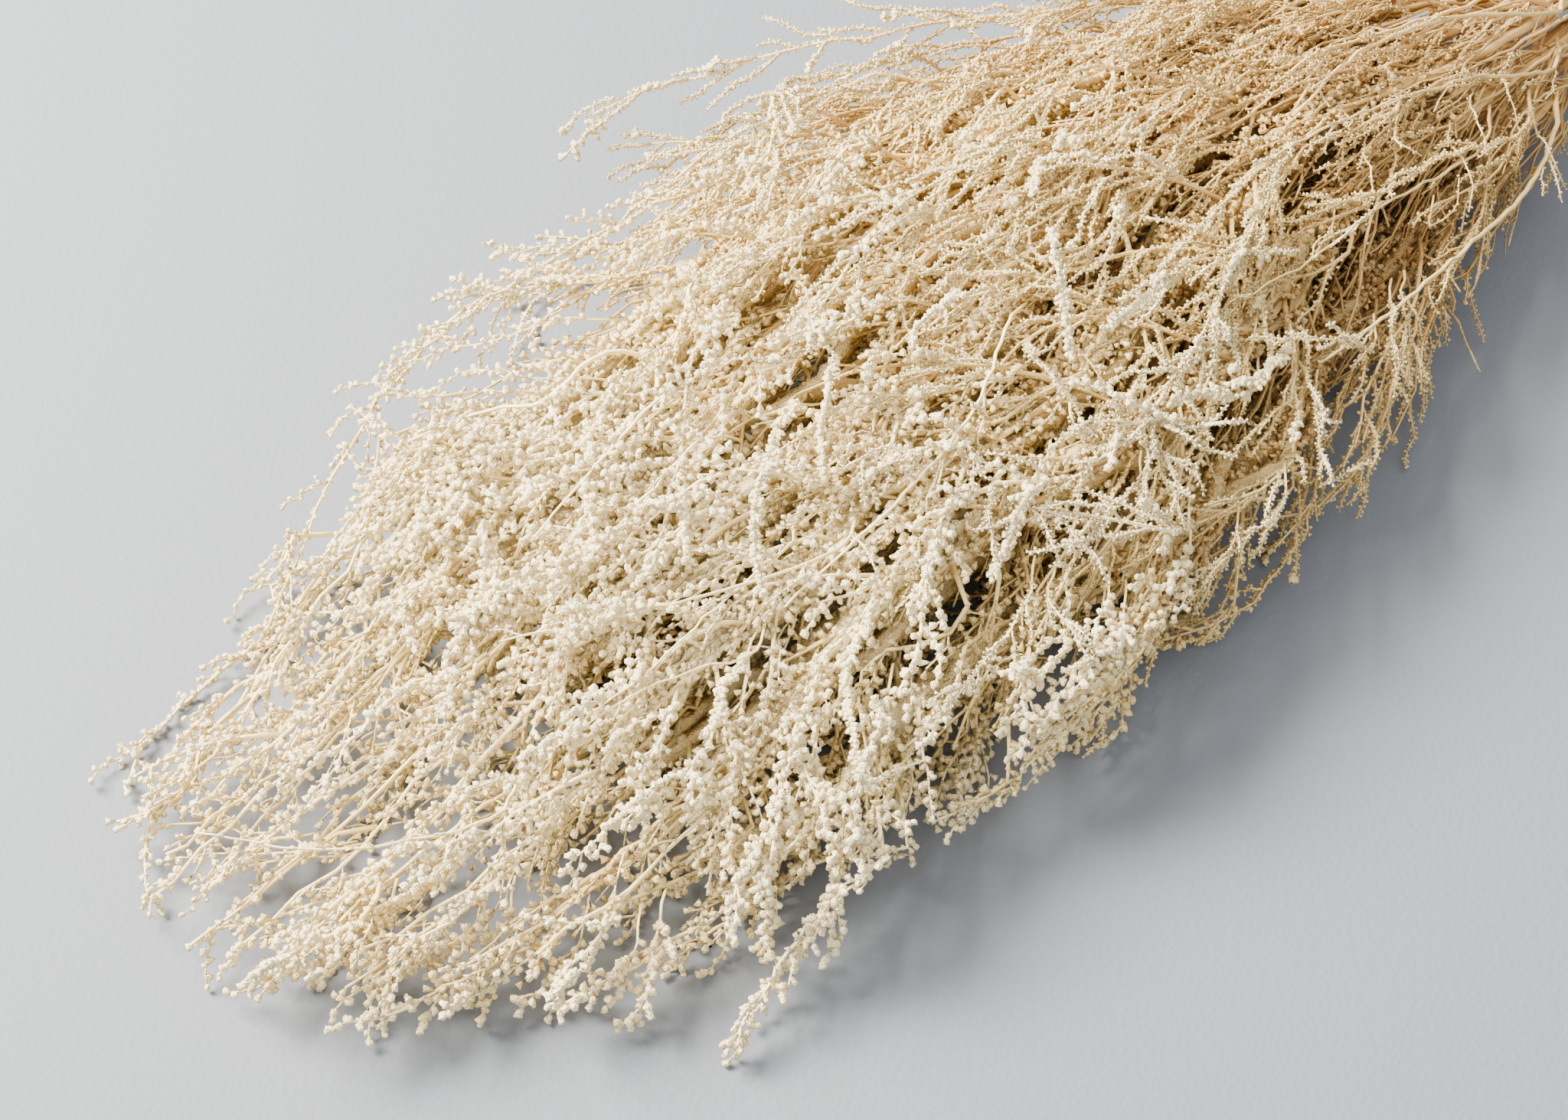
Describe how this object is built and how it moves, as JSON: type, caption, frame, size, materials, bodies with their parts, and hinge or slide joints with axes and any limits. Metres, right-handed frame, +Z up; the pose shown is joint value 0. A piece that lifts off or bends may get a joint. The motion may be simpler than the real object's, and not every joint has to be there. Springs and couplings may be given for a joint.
{
  "type": "dried stoebe bunch",
  "caption": "Tied bunch of dried, bleached stoebe lying down: thin woody stems that fan out into long sprays of knobbly, densely tufted twigs.",
  "frame": {"origin": "on the surface that the bunch lies on, under the middle of the tie, on the tie's flat underside", "axes": "+Y along the bunch from the cut ends to the tips, +Z up from the surface, +X to the side"},
  "size_m": [0.2497, 0.7137, 0.0871],
  "materials": {
    "stoebe": "dry bleached twigs and tufts, matt ivory outside, warm cream to tan in the depth",
    "twine": "matt natural jute twine"
  },
  "bodies": {
    "root": {"stem_01": "stoebe", "stem_02": "stoebe", "stem_03": "stoebe", "stem_04": "stoebe", "stem_05": "stoebe", "stem_06": "stoebe", "stem_07": "stoebe", "stem_08": "stoebe", "stem_09": "stoebe", "stem_10": "stoebe", "stem_11": "stoebe", "stem_12": "stoebe", "stem_13": "stoebe", "stem_14": "stoebe", "stem_15": "stoebe", "stem_16": "stoebe", "stem_17": "stoebe", "stem_18": "stoebe", "stem_19": "stoebe", "stem_20": "stoebe", "stem_21": "stoebe", "stem_22": "stoebe", "twine_tie": "twine"}
  },
  "joints": []
}
